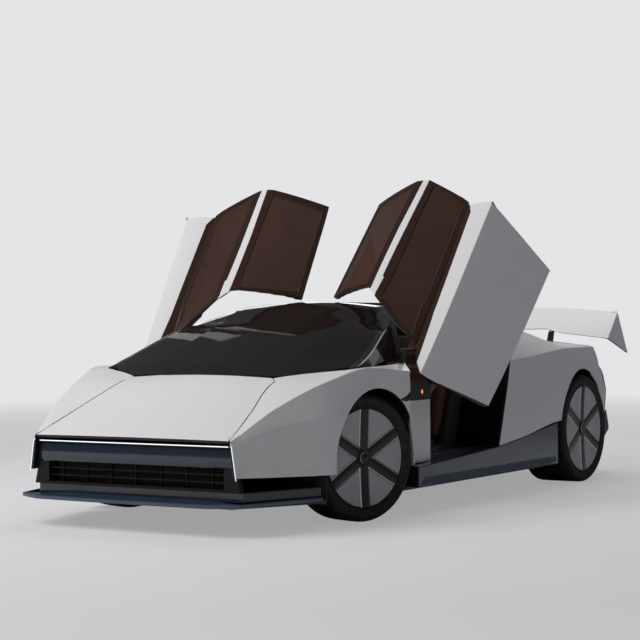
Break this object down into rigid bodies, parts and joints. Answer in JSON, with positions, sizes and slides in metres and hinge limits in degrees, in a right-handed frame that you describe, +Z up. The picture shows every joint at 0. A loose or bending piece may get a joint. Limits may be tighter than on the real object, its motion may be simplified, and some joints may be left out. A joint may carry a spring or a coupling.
{
  "type": "supercar",
  "caption": "Low two-seat supercar with a wedge body, dihedral doors standing open, a full-width wing and steered front wheels.",
  "frame": {"origin": "on the ground at the centre of the whole object", "axes": "+X to the car's left, +Y to its tail, +Z up"},
  "size_m": [2.7748, 4.72, 1.9629],
  "materials": {
    "body_paint": "satin pearl white",
    "fender_paint": "satin pearl white",
    "dark_gloss": "gloss blue-black",
    "light_bar": "clear light guide",
    "tail_light": "red light guide",
    "carbon": "satin carbon composite",
    "screen_glass": "dark tinted glass",
    "door_glass": "bronze tinted glass",
    "leather": "brown leather",
    "dash_leather": "dark brown leather",
    "tyre": "black rubber",
    "rim": "gloss black wheel with satin grey inserts",
    "steel": "machined steel",
    "machine": "cast housing"
  },
  "bodies": {
    "body": {"battery_pack": "machine", "console": "dash_leather", "dashboard": "dash_leather", "drive_unit": "machine", "front_arms": "steel", "front_fascia": "dark_gloss", "front_light_bar": "light_bar", "front_splitter": "dark_gloss", "left_front_fender": "fender_paint", "left_rear_quarter": "fender_paint", "left_seat": "leather", "left_sill": "dark_gloss", "rear_axle": "steel", "rear_diffuser": "carbon", "rear_wing": "body_paint", "right_front_fender": "fender_paint", "right_rear_quarter": "fender_paint", "right_seat": "leather", "right_sill": "dark_gloss", "roof_frame": "dark_gloss", "tail_light_bar": "tail_light", "tail_panel": "dark_gloss", "tub": "carbon", "underbody": "carbon", "wheel_liners": "carbon", "windscreen": "screen_glass"},
    "left_door": {"left_door": "body_paint", "left_door_glass": "door_glass", "left_door_trim": "leather"},
    "right_door": {"right_door": "body_paint", "right_door_glass": "door_glass", "right_door_trim": "leather"},
    "bonnet": {"bonnet": "body_paint"},
    "engine_cover": {"engine_cover": "dark_gloss"},
    "left_steering": {"front_left_knuckle": "steel"},
    "right_steering": {"front_right_knuckle": "steel"},
    "steering_wheel": {"steering_wheel": "dash_leather"},
    "front_left_wheel": {"front_left_tyre": "tyre", "front_left_rim": "rim"},
    "front_right_wheel": {"front_right_tyre": "tyre", "front_right_rim": "rim"},
    "rear_left_wheel": {"rear_left_tyre": "tyre", "rear_left_rim": "rim"},
    "rear_right_wheel": {"rear_right_tyre": "tyre", "rear_right_rim": "rim"}
  },
  "joints": [
    {"name": "left_door_hinge", "type": "hinge", "parent": "body", "child": "left_door", "pos_m": [0.8765, -0.85, 0.9139], "axis": [0.8199, -0.4617, -0.3387], "range_deg": [-61.5, 0]},
    {"name": "right_door_hinge", "type": "hinge", "parent": "body", "child": "right_door", "pos_m": [-0.8765, -0.85, 0.9139], "axis": [0.8199, 0.4617, 0.3387], "range_deg": [-61.5, 0]},
    {"name": "bonnet_hinge", "type": "hinge", "parent": "body", "child": "bonnet", "pos_m": [0, -1.602, 0.788], "axis": [-1, 0, 0], "range_deg": [0, 50]},
    {"name": "engine_cover_hinge", "type": "hinge", "parent": "body", "child": "engine_cover", "pos_m": [0, 0.491, 1.192], "axis": [1, 0, 0], "range_deg": [0, 40]},
    {"name": "left_steer", "type": "hinge", "parent": "body", "child": "left_steering", "pos_m": [0.803, -1.305, 0.349], "axis": [0, 0, 1], "range_deg": [-12.7, 47.3]},
    {"name": "right_steer", "type": "hinge", "parent": "body", "child": "right_steering", "pos_m": [-0.803, -1.305, 0.349], "axis": [0, 0, 1], "range_deg": [-12.7, 47.3]},
    {"name": "steering_wheel_turn", "type": "hinge", "parent": "body", "child": "steering_wheel", "pos_m": [0.4, -0.56, 0.7], "axis": [0, 0.9507, 0.3102], "range_deg": [-180, 665]},
    {"name": "front_left_spin", "type": "hinge", "parent": "left_steering", "child": "front_left_wheel", "pos_m": [0.803, -1.305, 0.349], "axis": [0.9548, -0.2974, 0], "continuous": true},
    {"name": "rear_left_spin", "type": "hinge", "parent": "body", "child": "rear_left_wheel", "pos_m": [0.8, 1.395, 0.361], "axis": [1, 0, 0], "continuous": true},
    {"name": "front_right_spin", "type": "hinge", "parent": "right_steering", "child": "front_right_wheel", "pos_m": [-0.803, -1.305, 0.349], "axis": [0.9548, -0.2974, 0], "continuous": true},
    {"name": "rear_right_spin", "type": "hinge", "parent": "body", "child": "rear_right_wheel", "pos_m": [-0.8, 1.395, 0.361], "axis": [1, 0, 0], "continuous": true}
  ],
  "couplings": [
    {"joint": "right_steer", "follows": "left_steer", "ratio": 1},
    {"joint": "steering_wheel_turn", "follows": "left_steer", "ratio": 14}
  ]
}
